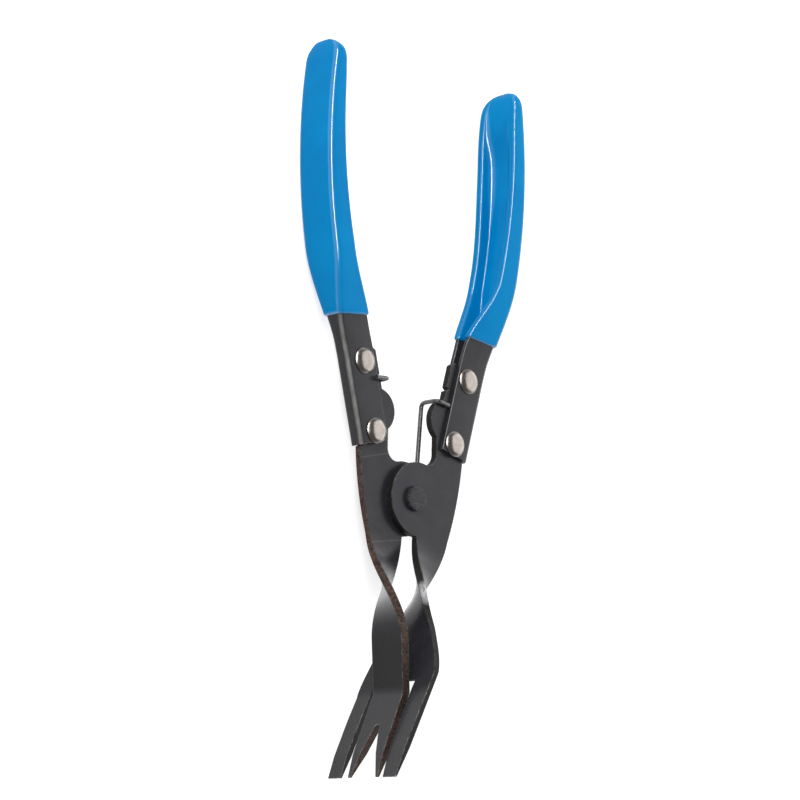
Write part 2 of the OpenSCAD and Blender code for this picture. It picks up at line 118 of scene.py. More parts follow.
# Rivets and spring
RIVET_LOW_AT = 3.7
RIVET_HIGH_AT = 26.8
RIVET_IN = 7.7
RIVET_HEAD_D = 8.6
RIVET_HEAD_H = 1.5
RIVET_D = 4.5
PIVOT_HEAD_D = 8.4
PIVOT_HEAD_H = 1.5
PIVOT_D = 6.0
PIVOT_SHOULDER_D = 9.0
PIVOT_BACK_D = 14.6
PIVOT_BACK_T = 1.5
PIVOT_AXIAL = 0.1
WIRE_R = 0.75
WIRE_PLAY = 0.3
COIL_R = 6.3
COIL_PITCH = 1.7
HOOK_RIGHT_AT = 14.8
HOOK_LEFT_AT = 19.9
HOOK_END = 5.5


def mix(a, b, t):
    return a + (b - a) * t


def clamp(t):
    return min(max(t, 0.0), 1.0)


def smooth(t):
    c = clamp(t)
    return c * c * (3 - 2 * c)


def arc(centre, radius, start, end, steps):
    """Points on a round, with both ends, angles in radians."""
    angles = [mix(start, end, i / steps) for i in range(steps + 1)]
    return [Vector((centre.x + radius * math.cos(a), centre.y + radius * math.sin(a))) for a in angles]


def angle_of(centre, point):
    return math.atan2(point.y - centre.y, point.x - centre.x)


def tang_pt(u, v):
    """Point at depth u from the channel's back and v along the tang."""
    return Vector((FOOT_X - u * math.cos(LEAN) + v * math.sin(LEAN),
                   FOOT_Y + u * math.sin(LEAN) + v * math.cos(LEAN)))


# Materials

def new_material(name):
    material = bpy.data.materials.new(name)
    material.use_nodes = True
    tree = material.node_tree
    return material, tree, tree.nodes["Principled BSDF"]


def node(tree, kind, **values):
    """Adds a node; values name its properties, or its sockets where it has no such property."""
    made = tree.nodes.new("ShaderNode" + kind)
    for name, value in values.items():
        if hasattr(made, name):
            setattr(made, name, value)
        else:
            made.inputs[name.replace("_", " ")].default_value = value
    return made


def noise(tree, scale, detail=4.0, roughness=0.55, stretch=None):
    """Noise over the object's own coordinates; scale is in lumps to a metre."""
    place = node(tree, "TexCoord")
    texture = node(tree, "TexNoise", Scale=scale, Detail=detail, Roughness=roughness)
    if stretch:
        mapping = node(tree, "Mapping", Scale=stretch)
        tree.links.new(place.outputs["Object"], mapping.inputs["Vector"])
        tree.links.new(mapping.outputs["Vector"], texture.inputs["Vector"])
    else:
        tree.links.new(place.outputs["Object"], texture.inputs["Vector"])
    return texture.outputs["Fac"]


def ramp(tree, source, low, high, start=0.0, end=1.0):
    """Remaps a value between two limits."""
    made = node(tree, "MapRange", From_Min=low, From_Max=high, To_Min=start, To_Max=end)
    tree.links.new(source, made.inputs["Value"])
    return made.outputs["Result"]


def math_node(tree, operation, first, second=0.0):
    """Joins two values; each is a socket or a number."""
    made = node(tree, "Math", operation=operation)
    for socket, value in zip(made.inputs, (first, second)):
        if isinstance(value, (int, float)):
            socket.default_value = value
        else:
            tree.links.new(value, socket)
    return made.outputs["Value"]


def blend_colours(tree, factor, first, second):
    """Mixes two colours; each is a socket or three numbers."""
    made = node(tree, "Mix", data_type="RGBA")
    tree.links.new(factor, made.inputs["Factor"])
    for socket, value in ((made.inputs[6], first), (made.inputs[7], second)):
        if isinstance(value, tuple):
            socket.default_value = (*value, 1.0)
        else:
            tree.links.new(value, socket)
    return made.outputs[2]


def bump(tree, shader, height, strength, distance):
    made = node(tree, "Bump", Strength=strength, Distance=distance)
    tree.links.new(height, made.inputs["Height"])
    tree.links.new(made.outputs["Normal"], shader.inputs["Normal"])


def parts_of(tree, output):
    """X, Y and Z of the object's own place or normal, or of a direction in the world."""
    place = node(tree, "TexCoord")
    parts = node(tree, "SeparateXYZ")
    tree.links.new(place.outputs[output], parts.inputs["Vector"])
    return parts.outputs


# Limits of a noise: most of its values lie in the first pair, the others pick out patches and specks
NOISE_SPAN = (0.3, 0.7)
WEAR_SPAN = (0.36, 0.58)
RUB_SPAN = (0.36, 0.62)
PLATE_LINE_SPAN = (0.32, 0.55)
RUST_SPAN = (0.40, 0.62)
RUST_PATCHES = (0.25, 0.55)
SPOT_SPAN = (0.36, 0.5)
NICKEL_SPAN = (0.35, 0.7)
WIRE_SPAN = (0.35, 0.65)
PEENED_SPAN = (0.46, 0.68)

# Least and most of a look that comes and goes in patches
PATCHY = (0.35, 1.0)

# Wear on edges: its reach in millimetres, and how the normals agree on flats and on edges
EDGE_R = 0.5
EDGE_SPAN = (0.97, 0.80)
EDGE_SAMPLES = 4


def edge_wear(tree):
    """Edges, where a rounded normal leans from the true one, less some patches that kept their finish."""
    rounded = node(tree, "Bevel", samples=EDGE_SAMPLES, Radius=EDGE_R * MM)
    true = node(tree, "NewGeometry")
    dot = node(tree, "VectorMath", operation="DOT_PRODUCT")
    tree.links.new(rounded.outputs["Normal"], dot.inputs[0])
    tree.links.new(true.outputs["Normal"], dot.inputs[1])
    patchy = ramp(tree, noise(tree, scale=420.0, detail=6.0), *WEAR_SPAN)
    return math_node(tree, "MULTIPLY", ramp(tree, dot.outputs["Value"], *EDGE_SPAN), patchy)


def arris(tree, low, high):
    """1 where a fold or lip faces between sideways and forward, 0 on flats, by the object's own normals."""
    parts = parts_of(tree, "Normal")
    product = math_node(tree, "MULTIPLY", parts["X"], parts["Z"])
    return ramp(tree, math_node(tree, "ABSOLUTE", product), low, high)


def along_jaw(tree, start, end):
    """0 above one length from the pivot, rising to 1 below another, both in millimetres."""
    return ramp(tree, parts_of(tree, "Object")["Y"], PIVOT.y - start * MM, PIVOT.y - end * MM)


SPOT_R = 4.5
SPOT_CORE_R = 1.35


def near(tree, spot):
    """1 round a place on the object, falling to 0 further away."""
    place = node(tree, "TexCoord")
    away = node(tree, "VectorMath", operation="DISTANCE")
    tree.links.new(place.outputs["Object"], away.inputs[0])
    away.inputs[1].default_value = spot
    return ramp(tree, away.outputs["Value"], SPOT_R * MM, SPOT_CORE_R * MM)


STEEL_DARK = (0.020, 0.020, 0.0235)
STEEL_LIGHT = (0.030, 0.030, 0.0355)
STEEL_WORN = (0.36, 0.35, 0.34)
# Rubbed steel on the channel folds, lighter than wear alone as a painted highlight along the folds
FOLD_RUB_AND_SHEEN = (0.30, 0.29, 0.275)
# Painted sheen: the forks' base is lightened to stand in for the brighter reflection they show
FORK_PAINTED_SHEEN = (0.042, 0.042, 0.045)
# Painted shade: the left blade is darkened below its plate to stand in for the shade it shows
BLADE_PAINTED_SHADE = (0.010, 0.010, 0.011)
# Light tone shared by a scribed mark and a painted highlight along the left plate's crease
SCRIBE_AND_CREASE_LIGHT = (0.085, 0.080, 0.078)
SHEAR_DARK = (0.014, 0.012, 0.011)
SHEAR_BROWN = (0.130, 0.080, 0.062)
# Partly the sheared edge's own dark tone, partly painted shade: darkened for the slot edge in the narrow
# fork's shadow
SHEAR_SHADED_GREY = (0.022, 0.020, 0.019)
BARE_STEEL = (0.62, 0.62, 0.64)

STEEL_ROUGH = (0.24, 0.34)
STEEL_IOR = 1.29
SHEAR_ROUGH = (0.45, 0.7)
SHEAR_IOR = 1.22
WORN_METAL = 0.8
BURNISHED_COAT = 0.8
BURNISHED_ROUGH = 0.25
BURNISHED_IOR = 1.6

# Lengths from the pivot over which a look comes in or, where they fall, goes out
BLADE_SPAN = (34.0, 50.0)
FORK_SPAN = (62.0, 65.0)
BURNISHED_IN = (25.0, 31.0)
BURNISHED_OUT = (42.0, 33.5)

FOLD_SPAN = (0.22, 0.5)
PLATE_LINE_EDGE = 0.22
PLATE_LINE_CORE = 0.08


def scribe_and_crease_line(tree, x, y, slope):
    """1 on a thin, broken line through a point on a plate, given in millimetres about the pivot."""
    parts = parts_of(tree, "Object")
    rise = math_node(tree, "MULTIPLY", parts["X"], -slope)
    off = math_node(tree, "ADD", parts["Y"], rise)
    start = PIVOT.y + y * MM - slope * (PIVOT.x + x * MM)
    off = math_node(tree, "ABSOLUTE", math_node(tree, "SUBTRACT", off, start))
    line = ramp(tree, off, PLATE_LINE_EDGE * MM, PLATE_LINE_CORE * MM)
    return math_node(tree, "MULTIPLY", line, ramp(tree, noise(tree, scale=330.0, detail=3.0), *PLATE_LINE_SPAN))


def black_steel(name, folds_rubbed_and_sheen=False, scribes_and_creases=(), blade_painted_shade=False):
    """Satin black finish, mottled, worn at edges, burnished where twisted and lightened towards the forks
    as a painted sheen.

    Folds may be rubbed with a painted highlight, a scribed mark and a painted crease highlight drawn, and
    the blade darkened with painted shade.
    """
    material, tree, shader = new_material(name)
    mottle = ramp(tree, noise(tree, scale=160.0), *NOISE_SPAN)
    base = blend_colours(tree, mottle, STEEL_DARK, STEEL_LIGHT)
    # Painted shade: the blade is darkened over a stretch of its length from the pivot
    if blade_painted_shade:
        base = blend_colours(tree, along_jaw(tree, *BLADE_SPAN), base, BLADE_PAINTED_SHADE)
    # Painted sheen: lighter towards the forks
    base = blend_colours(tree, along_jaw(tree, *FORK_SPAN), base, FORK_PAINTED_SHEEN)
    for mark in scribes_and_creases:
        # A scribed mark, and a painted highlight along the crease
        base = blend_colours(tree, scribe_and_crease_line(tree, *mark), base, SCRIBE_AND_CREASE_LIGHT)
    wear = edge_wear(tree)
    # Streaky wear on the folds, which is also a painted highlight along every fold
    if folds_rubbed_and_sheen:
        streaks = noise(tree, scale=260.0, detail=6.0, roughness=0.6, stretch=(1.0, 0.35, 1.0))
        rub_and_sheen = ramp(tree, streaks, *RUB_SPAN, *PATCHY)
        rub_and_sheen = math_node(tree, "MULTIPLY", arris(tree, *FOLD_SPAN), rub_and_sheen)
        base = blend_colours(tree, rub_and_sheen, base, FOLD_RUB_AND_SHEEN)
    worn = blend_colours(tree, wear, base, STEEL_WORN)
    rough = ramp(tree, noise(tree, scale=300.0, detail=5.0), *NOISE_SPAN, *STEEL_ROUGH)
    burnished = math_node(tree, "MULTIPLY", along_jaw(tree, *BURNISHED_IN), along_jaw(tree, *BURNISHED_OUT))
    tree.links.new(worn, shader.inputs["Base Color"])
    tree.links.new(rough, shader.inputs["Roughness"])
    tree.links.new(math_node(tree, "MULTIPLY", wear, WORN_METAL), shader.inputs["Metallic"])
    tree.links.new(math_node(tree, "MULTIPLY", burnished, BURNISHED_COAT), shader.inputs["Coat Weight"])
    shader.inputs["Coat Roughness"].default_value = BURNISHED_ROUGH
    shader.inputs["Coat IOR"].default_value = BURNISHED_IOR
    shader.inputs["IOR"].default_value = STEEL_IOR
    bump(tree, shader, noise(tree, scale=2600.0, detail=3.0), strength=0.12, distance=0.04 * MM)
    return material


def sheared_steel(name, tone, spot=None):
    """Rough sheared edge; a spot, where given, is worn bright."""
    material, tree, shader = new_material(name)
    grain = noise(tree, scale=1300.0, detail=6.0, roughness=0.75)
    patches = ramp(tree, noise(tree, scale=140.0, detail=3.0), *RUST_PATCHES, *PATCHY)
    rust = math_node(tree, "MULTIPLY", ramp(tree, grain, *RUST_SPAN), patches)
    base = blend_colours(tree, rust, SHEAR_DARK, tone)
    base = blend_colours(tree, edge_wear(tree), base, STEEL_WORN)
    if spot:
        bright = math_node(tree, "MULTIPLY", near(tree, spot), ramp(tree, grain, *SPOT_SPAN))
        base = blend_colours(tree, bright, base, BARE_STEEL)
        tree.links.new(bright, shader.inputs["Metallic"])
    tree.links.new(base, shader.inputs["Base Color"])
    tree.links.new(ramp(tree, grain, *NOISE_SPAN, *SHEAR_ROUGH), shader.inputs["Roughness"])
    shader.inputs["IOR"].default_value = SHEAR_IOR
    bump(tree, shader, grain, strength=0.5, distance=0.12 * MM)
    return material


VINYL_DEEP = (0.0004, 0.210, 0.515)
VINYL_BRIGHT = (0.0008, 0.250, 0.570)
VINYL_ROUGH = (0.10, 0.20)
VINYL_GLOSS = (0.04, 1.3)
ARRIS_SPAN = (0.24, 0.46)
LOWER_LIP_SPAN = (-0.35, -0.7)


def arris_shine(tree):
    """Specular level of the vinyl: rubbed bright on folds and lips, duller on the flats."""
    lower_lip = ramp(tree, parts_of(tree, "Normal")["Y"], *LOWER_LIP_SPAN)
    rub_and_sheen = math_node(tree, "MAXIMUM", arris(tree, *ARRIS_SPAN), lower_lip)
    return ramp(tree, rub_and_sheen, 0.0, 1.0, *VINYL_GLOSS)


def blue_vinyl():
    """Glossy dipped vinyl with slow waves in its skin."""
    material, tree, shader = new_material("blue_vinyl")
    cloud = ramp(tree, noise(tree, scale=55.0, detail=2.0), *NOISE_SPAN)
    rough = ramp(tree, noise(tree, scale=90.0), *NOISE_SPAN, *VINYL_ROUGH)
    tree.links.new(blend_colours(tree, cloud, VINYL_DEEP, VINYL_BRIGHT), shader.inputs["Base Color"])
    tree.links.new(rough, shader.inputs["Roughness"])
    tree.links.new(arris_shine(tree), shader.inputs["Specular IOR Level"])
    bump(tree, shader, noise(tree, scale=130.0, detail=2.0), strength=0.08, distance=0.5 * MM)
    return material


NICKEL_LIGHT = (0.33, 0.302, 0.278)
NICKEL_DULL = (0.27, 0.241, 0.217)
NICKEL_ROUGH = (0.22, 0.32)


def bright_steel():
    """Nickel-plated rivet heads, a little dull."""
    material, tree, shader = new_material("bright_steel")
    patches = ramp(tree, noise(tree, scale=500.0, detail=5.0), *NICKEL_SPAN)
    tree.links.new(blend_colours(tree, patches, NICKEL_LIGHT, NICKEL_DULL), shader.inputs["Base Color"])
    tree.links.new(ramp(tree, patches, 0.0, 1.0, *NICKEL_ROUGH), shader.inputs["Roughness"])
    shader.inputs["Metallic"].default_value = 1.0
    bump(tree, shader, noise(tree, scale=1500.0, detail=3.0), strength=0.08, distance=0.03 * MM)
    return material


WIRE_DARK = (0.020, 0.020, 0.021)
WIRE_LIGHT = (0.055, 0.055, 0.056)
WIRE_ROUGH = (0.24, 0.38)
WIRE_IOR = 1.9


def spring_steel():
    """Drawn dark wire."""
    material, tree, shader = new_material("spring_steel")
    streaks = ramp(tree, noise(tree, scale=700.0), *WIRE_SPAN)
    tree.links.new(blend_colours(tree, streaks, WIRE_DARK, WIRE_LIGHT), shader.inputs["Base Color"])
    tree.links.new(ramp(tree, streaks, 0.0, 1.0, *WIRE_ROUGH), shader.inputs["Roughness"])
    shader.inputs["IOR"].default_value = WIRE_IOR
    bump(tree, shader, noise(tree, scale=2200.0, detail=2.0), strength=0.10, distance=0.03 * MM)
    return material


PEENED_DARK = (0.010, 0.010, 0.011)
PEENED_LIGHT = (0.075, 0.075, 0.08)
PEENED_ROUGH = (0.38, 0.6)
PEENED_IOR = 1.34


def peened_steel():
    """Dark pivot head with a rough, hammered face."""
    material, tree, shader = new_material("peened_steel")
    grain = noise(tree, scale=1500.0, detail=5.0, roughness=0.7)
    base = blend_colours(tree, ramp(tree, grain, *PEENED_SPAN), PEENED_DARK, PEENED_LIGHT)
    tree.links.new(base, shader.inputs["Base Color"])
    tree.links.new(ramp(tree, grain, *NOISE_SPAN, *PEENED_ROUGH), shader.inputs["Roughness"])
    shader.inputs["IOR"].default_value = PEENED_IOR
    bump(tree, shader, grain, strength=0.8, distance=0.15 * MM)
    return material


# Meshes

MERGE_WITHIN = 0.002
BEVEL_SEGMENTS = 2
TURNED_SEGMENTS = 64


def piece(name, points, faces, materials, cad_node, indices=None, bevel=0.0, sharp=40.0):
    """A smooth piece from points in millimetres, standing for a CAD node."""
    mesh = bpy.data.meshes.new(name)
    mesh.from_pydata([PIVOT + Vector(p) * MM for p in points], [], faces)
    for material in materials:
        mesh.materials.append(material)
    if indices:
        mesh.polygons.foreach_set("material_index", indices)
    mesh.validate()
    mesh.shade_smooth()
    mesh.set_sharp_from_angle(angle=math.radians(sharp))
    made = bpy.data.objects.new(name, mesh)
    bpy.context.scene.collection.objects.link(made)
    if bevel:
        rounding = made.modifiers.new("rounded_edges", "BEVEL")
        rounding.width = bevel * MM
        rounding.segments = BEVEL_SEGMENTS
        rounding.limit_method = "ANGLE"
        rounding.angle_limit = math.radians(sharp)
        rounding.harden_normals = True
    merging = made.modifiers.new("merged_points", "WELD")
    merging.merge_threshold = MERGE_WITHIN * MM
    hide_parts(cad_node)
    return made


def crease(made, lines):
    """Keeps the shading apart on the two sides of lines of points."""
    wanted = {frozenset(pair) for line in lines for pair in zip(line, line[1:])}
    for edge in made.data.edges:
        if frozenset(edge.vertices) in wanted:
            edge.use_edge_sharp = True


def skin(rings):
    """Points and faces of a closed tube over rings with the same number of points."""
    columns = len(rings[0])
    points = [p for ring in rings for p in ring]
    faces = []
    for i in range(len(rings) - 1):
        for j in range(columns):
            a = i * columns + j
            b = i * columns + (j + 1) % columns
            faces.append((a, b, b + columns, a + columns))
    faces.append(tuple(reversed(range(columns))))
    faces.append(tuple(range((len(rings) - 1) * columns, len(rings) * columns)))
    return points, faces


def lathe(profile):
    """Points and faces of a turned solid; the profile is radius against height, from axis to axis."""
    segments = TURNED_SEGMENTS
    points = [Vector((0, 0, profile[0][1]))]
    for r, z in profile[1:-1]:
        for k in range(segments):
            a = math.tau * k / segments
            points.append(Vector((r * math.cos(a), r * math.sin(a), z)))
    points.append(Vector((0, 0, profile[-1][1])))
    rows = len(profile) - 2
    faces = []
    for k in range(segments):
        n = (k + 1) % segments
        faces.append((0, 1 + n, 1 + k))
        for i in range(rows - 1):
            low = 1 + i * segments
            faces.append((low + k, low + n, low + segments + n, low + segments + k))
        last = 1 + (rows - 1) * segments
        faces.append((last + k, last + n, len(points) - 1))
    return points, faces


# Jaws: one sheet for the flat plate and the twisted, bent and forked blade, then given its thickness

class Blade:
    """A jaw below its plate.

    The middle eases from neck_x to bend_x, and at bend_at it bends by a number of degrees. The blade
    gets its width over a stretch, widen, and ends with a tip_width. It is thick at the forks, twisted
    over by some degrees past the quarter turn as far as the bend, and shifted along the pivot.
    """

    def __init__(self, side, neck_x, bend_at, bend_x, bend, width, tip_width, thick, over, ease, widen,
                 shift):
        self.side = side
        self.thick = thick
        self.neck_x = neck_x
        self.bend_at = bend_at
        self.bend_x = bend_x
        self.tip_x = bend_x - (JAW_LEN - bend_at) * math.tan(math.radians(bend))
        self.width = width
        self.tip_width = tip_width
        self.over = over
        self.skew = width / 2 * math.sin(math.radians(over)) / math.tan(math.radians(bend))
        self.ease = ease
        self.widen = widen
        self.shift = shift

    def station(self, length, q):
        """Place along the blade, 0 at the neck, 1 at the bend and 2 at the tips."""
        slope = q * self.skew
        t = (length - TWIST_FROM) / (self.bend_at - TWIST_FROM - slope)
        if t <= 1:
            return t
        return 1 + (length - self.bend_at + slope) / (JAW_LEN - self.bend_at + slope)

    def middle_x(self, t):
        if t <= 1:
            return mix(self.neck_x, self.bend_x, max(t, 0.0) ** self.ease)
        return mix(self.bend_x, self.tip_x, t - 1)

    def half(self, t):
        start, end = self.widen
        full = mix(NECK_W, self.width, smooth((t - start) / (end - start)))
        return mix(full, self.tip_width, max(t - 1, 0.0)) / 2

    def point(self, length, q, face):
        """Point on the front (1) or back (-1) of the blade, q from -1 to 1 across it."""
        t = self.station(length, q)
        past = max(t - 1, 0.0)
        along = mix(TWIST_FROM, self.bend_at, t) if t <= 1 else mix(self.bend_at, JAW_LEN, past)
        twist = clamp((along - TWIST_FROM) / (TWIST_TO - TWIST_FROM))
        share = mix(smooth(twist), twist, EVEN_SHARE)
        turn = math.radians((90 + self.over) * share - self.over * past)
        thinned = max(past - THIN_FROM, 0.0) / (1 - THIN_FROM)
        thick = mix(mix(PLATE_T, self.thick, share), TIP_T, thinned)
        before = self.middle_x(self.station(max(length - CREASE_R, TWIST_FROM), q))
        after = self.middle_x(self.station(min(length + CREASE_R, JAW_LEN), q))
        x = self.middle_x(t)
        if TWIST_FROM + CREASE_R < length < JAW_LEN - CREASE_R:
            x = (before + 2 * x + after) / 4
        half = self.half(t)
        mid = mix(self.side * PLATE_MID, self.shift, share)
        return Vector((x - q * half * math.cos(turn) + face * thick / 2 * math.sin(turn), -length,
                       mid + q * half * math.sin(turn) + face * thick / 2 * math.cos(turn)))


NARROW = Blade(side=LEFT, neck_x=-9.8, bend_at=64.0, bend_x=-6.9, bend=23.0, width=13.8, tip_width=13.8,
               thick=3.2, over=0.0, ease=1.33, widen=(0.0, 1.0), shift=0.9)
WIDE = Blade(side=RIGHT, neck_x=8.7, bend_at=61.0, bend_x=-3.0, bend=26.0, width=32.7, tip_width=30.9,
             thick=2.5, over=7.0, ease=1.17, widen=(0.42, 1.06), shift=-0.5)
VEE_MOUTH = 11.4
VEE_DEPTH = 17.0
VEE_R = 1.1
SLOT_LOW = -10.3
SLOT_HIGH = 8.0
MOUTH_LOW = -10.0
MOUTH_HIGH = 9.1
SLOT_FLARE = 11.0
SLOT_TOP = WIDE.bend_at - 1.0
ROW_STEP = 0.75
ROUND_ANGLES = (0, 25, 45, 65, 90)
TINE_COLUMNS = 5
MIDDLE_COLUMNS = 8
FLANK_STEPS = 30
BUMP_STEPS = 40
CROTCH_STEPS = 16
LOBE_STEPS = 60


def vee_edges(length):
    """Both edges of the V notch, round at its root, from the blade's middle."""
    past = length - JAW_LEN + VEE_DEPTH - VEE_R
    half = mix(VEE_R, VEE_MOUTH / 2, past / (VEE_DEPTH - VEE_R))
    if past < 0:
        half = math.sqrt(max(VEE_R ** 2 - past ** 2, 0.0))
    return -half, half


def slot_edges(length):
    """Both edges of the slot, flared at its mouth, from the blade's middle."""
    flare = clamp((length - JAW_LEN + SLOT_FLARE) / SLOT_FLARE)
    low = mix(SLOT_LOW, MOUTH_LOW, flare)
    high = mix(SLOT_HIGH, MOUTH_HIGH, flare)
    return low - WIDE.shift, high - WIDE.shift


class Sheet:
    """Flat or bent sheet: places with a front and a back point, and faces between them."""

    def __init__(self):
        self.front = []
        self.back = []
        self.faces = []

    def add(self, front, back):
        self.front.append(front)
        self.back.append(back)
        return len(self.front) - 1

    def solid(self):
        """Points, faces and material numbers, with 1 for the walls round the sheet's edges."""
        count = len(self.front)
        faces = [tuple(f) for f in self.faces]
        faces += [tuple(i + count for i in reversed(f)) for f in self.faces]
        indices = [0] * len(faces)
        edges = {(f[i], f[(i + 1) % len(f)]) for f in self.faces for i in range(len(f))}
        for a, b in sorted(edges):
            if (b, a) not in edges:
                faces.append((b, a, a + count, b + count))
                indices.append(1)
        return self.front + self.back, faces, indices


def blade_rows(cut_top, round_r):
    """Lengths at which the blade has points, close together round the top of its cut."""
    count = round((JAW_LEN - TWIST_FROM) / ROW_STEP)
    rows = [mix(TWIST_FROM, JAW_LEN, i / count) for i in range(count + 1)]
    finer = [cut_top + round_r * (1 - math.cos(math.radians(a))) for a in ROUND_ANGLES]
    kept = [r for r in rows if all(abs(r - f) > ROW_STEP / 3 for f in finer)]
    return sorted(set(kept + finer))


def add_blade(sheet, blade, cut_edges, cut_top, round_r, middle_columns):
    """Adds the blade's points and faces, and returns the points of its first row."""
    rows = blade_rows(cut_top, round_r)
    grid = []
    for length in rows:
        half = blade.half(blade.station(length, 0.0))
        if length <= cut_top:
            half = blade.half(blade.station(cut_top, 0.0))
        low, high = (edge / half for edge in cut_edges(max(length, cut_top)))
        across = [mix(-1, low, i / TINE_COLUMNS) for i in range(TINE_COLUMNS + 1)]
        across += [mix(low, high, i / middle_columns) for i in range(1, middle_columns)]
        upper = [mix(high, 1, i / TINE_COLUMNS) for i in range(TINE_COLUMNS + 1)]
        joined = high - low < 1e-6
        across += upper[1:] if joined else upper
        line = [sheet.add(blade.point(length, q, 1), blade.point(length, q, -1)) for q in across]
        grid.append(line[:TINE_COLUMNS + 1] + line[TINE_COLUMNS:] if joined else line)
    gap = range(TINE_COLUMNS, TINE_COLUMNS + max(middle_columns, 1))
    for i in range(len(rows) - 1):
        for j in range(len(grid[i]) - 1):
            a, b = grid[i][j], grid[i][j + 1]
            c, d = grid[i + 1][j + 1], grid[i + 1][j]
            if j in gap and (rows[i] >= cut_top or a == b):
                continue
            sheet.faces.append((a, b, c, d))
    first = grid[0]
    return [p for k, p in enumerate(first) if k == 0 or p != first[k - 1]]


def plate_outline(neck):
    """Outline of the right plate from the neck's outer corner round to its inner corner."""
    low = Vector((neck + NECK_W / 2, -TWIST_FROM))
    top = tang_pt(SHEET_T * 2 / 3, SHOULDER_V)
    chord = top - low
    along = chord.normalized()
    inward = Vector((-along.y, along.x))
    flank_c = (low + top) / 2 + inward * math.sqrt(FLANK_R ** 2 - (chord.length / 2) ** 2)
    lobe_c = Vector((LOBE_SHIFT, 0))
    crotch_x = ROOT_X - CROTCH_R
    crotch_c = Vector((crotch_x, math.sqrt((LOBE_R + CROTCH_R) ** 2 - (crotch_x - LOBE_SHIFT) ** 2)))
    bump_c = tang_pt(BUMP_W, BUMP_AT)
    bump_top = tang_pt(TANG_W, BUMP_AT + math.sqrt(BUMP_R ** 2 - (TANG_W - BUMP_W) ** 2))
    root_top = Vector((ROOT_X, bump_c.y - math.sqrt(BUMP_R ** 2 - (bump_c.x - ROOT_X) ** 2)))
    neck_in = neck - NECK_W / 2
    lobe_end = Vector((neck_in, -math.sqrt(LOBE_R ** 2 - (neck_in - LOBE_SHIFT) ** 2)))
    touch = angle_of(crotch_c, lobe_c)
    lobe_from = angle_of(lobe_c, crotch_c)
    points = arc(flank_c, FLANK_R, angle_of(flank_c, low), angle_of(flank_c, top), FLANK_STEPS)
    points += [tang_pt(TANG_BACK, SHOULDER_V), tang_pt(TANG_BACK, TANG_LEN),
               tang_pt(TANG_W - TANG_CORNER, TANG_LEN), tang_pt(TANG_W, TANG_LEN - TANG_CORNER),
               tang_pt(TANG_W, NOTCH_AT + NOTCH_HALF), tang_pt(TANG_W - NOTCH_D, NOTCH_AT),
               tang_pt(TANG_W, NOTCH_AT - NOTCH_HALF)]
    bump_to = angle_of(bump_c, root_top) % math.tau
    points += arc(bump_c, BUMP_R, angle_of(bump_c, bump_top), bump_to, BUMP_STEPS)
    points += arc(crotch_c, CROTCH_R, 0.0, touch, CROTCH_STEPS)
    points += arc(lobe_c, LOBE_R, lobe_from, angle_of(lobe_c, lobe_end) % math.tau, LOBE_STEPS)[1:]
    return points[1:]


def jaw(name, blade, cut_edges, cut_top, round_r, middle_columns, materials):
    """Plate and blade of one jaw as a single piece."""
    sheet = Sheet()
    row = add_blade(sheet, blade, cut_edges, cut_top, round_r, middle_columns)
    side = blade.side
    front = side * PLATE_MID + PLATE_T / 2
    rim = []
    for p in plate_outline(abs(blade.neck_x)):
        x = side * p.x
        rim.append(sheet.add(Vector((x, p.y, front)), Vector((x, p.y, front - PLATE_T))))
    outer_first = rim if side == RIGHT else rim[::-1]
    sheet.faces.append(tuple(outer_first + row[::-1]))
    points, faces, indices = sheet.solid()
    made = piece(name, points, faces, materials, name, indices, bevel=0.25)
    behind = [i + len(sheet.front) for i in row]
    crease(made, (row, behind))
    return made


# Handles and grips: a U section carried along the handle's line

OUT_LEN = OUT_R * (OUT_LEAN - LEAN)
SPINE_LEN = STRAIGHT_LEN + OUT_LEN + IN_LEN
GROW_FROM = STRAIGHT_LEN + 6.0
SLIM_FROM = STRAIGHT_LEN + OUT_LEN
GROW_TO = SLIM_FROM + 29.0
SLIM_TO = SLIM_FROM + 28.0
METAL_LIP = 0.3
METAL_ROOT = 0.3
VINYL_LIP = 1.2
VINYL_ROOT = 0.9
WIDE_ROOT = 3.2
WIDE_FROM = 52.0
WIDE_LEN = 24.0
FILL_FROM = 26.0
FILL_LEN = 18.0
FILL_SHORT = 0.12
END_ROUND = 2.5
END_EXTRA = {LEFT: -0.5, RIGHT: 0.9}
EXTRA_LEN = 40.0
BLUNT = math.radians(87.0)

# Shares that keep one round of a section clear of the next
LIP_OF_DEPTH = 0.4
LIP_OF_WALL = 0.45
WALL_OF_HALF = 0.72
FOLD_OF_HALF = 0.8
FOLD_OF_DIP = 0.8
ROUND_OF_ROOM = 0.9

# Steps round the corners of a section
LIP_ARC = 5
ROOT_ARC = 6
FOLD_ARC = 7


def heading(s):
    """Lean of the handle's line at a length along it."""
    if s < STRAIGHT_LEN:
        return LEAN
    if s < STRAIGHT_LEN + OUT_LEN:
        return LEAN + (s - STRAIGHT_LEN) / OUT_R
    return OUT_LEAN - (s - STRAIGHT_LEN - OUT_LEN) / IN_R


def arc_step(radius, a, b):
    return radius * Vector((math.cos(a) - math.cos(b), math.sin(b) - math.sin(a)))


def spine(s):
    """Point on the channel's back."""
    if s < STRAIGHT_LEN:
        return tang_pt(0, s)
    out_start = tang_pt(0, STRAIGHT_LEN)
    if s < STRAIGHT_LEN + OUT_LEN:
        return out_start + arc_step(OUT_R, LEAN, heading(s))
    return out_start + arc_step(OUT_R, LEAN, OUT_LEAN) - arc_step(IN_R, OUT_LEAN, heading(s))


def end_share(s, length, power=2.0):
    """1 along the grip, falling to 0 at its end over a length."""
    c = (s - SPINE_LEN - GRIP_T + length) / length
    return 1.0 if c <= 0 else max(1 - c ** power, 0.0) ** (1 / power)


